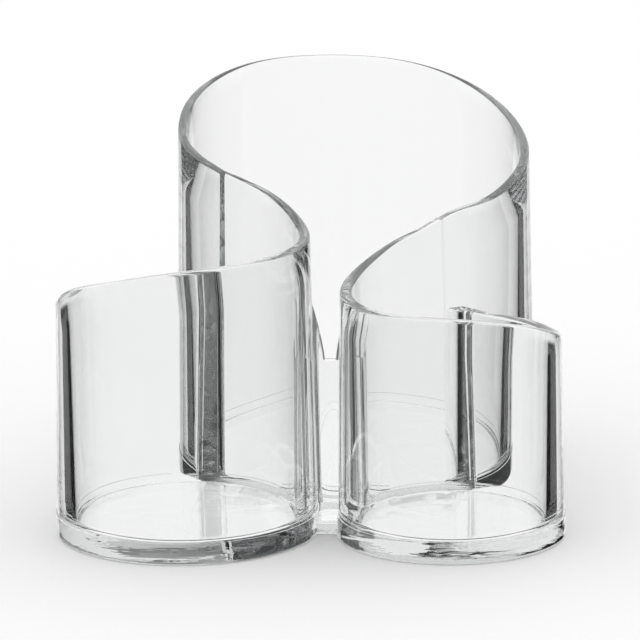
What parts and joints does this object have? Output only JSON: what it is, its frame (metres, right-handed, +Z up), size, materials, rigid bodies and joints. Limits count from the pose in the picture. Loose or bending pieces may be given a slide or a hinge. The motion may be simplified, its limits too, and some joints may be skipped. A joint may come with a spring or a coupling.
{
  "type": "makeup brush holder",
  "caption": "Clear moulded desk holder for makeup brushes: fused round cups of stepped height, a tall wide one behind, with rims that fall in a spiral.",
  "frame": {"origin": "middle of the footprint's bounding rectangle, on the surface the holder stands on", "axes": "+Z up, +X to the right, -Y to the front, where the two low cups stand"},
  "size_m": [0.1488, 0.1632, 0.1197],
  "materials": {
    "clear_plastic": "colourless, transparent and polished"
  },
  "bodies": {
    "root": {"back_cup_wall": "clear_plastic", "left_cup_wall": "clear_plastic", "right_cup_wall": "clear_plastic", "front_web_wall": "clear_plastic", "back_cup_base": "clear_plastic", "left_cup_base": "clear_plastic", "right_cup_base": "clear_plastic", "front_web_base": "clear_plastic"}
  },
  "joints": []
}
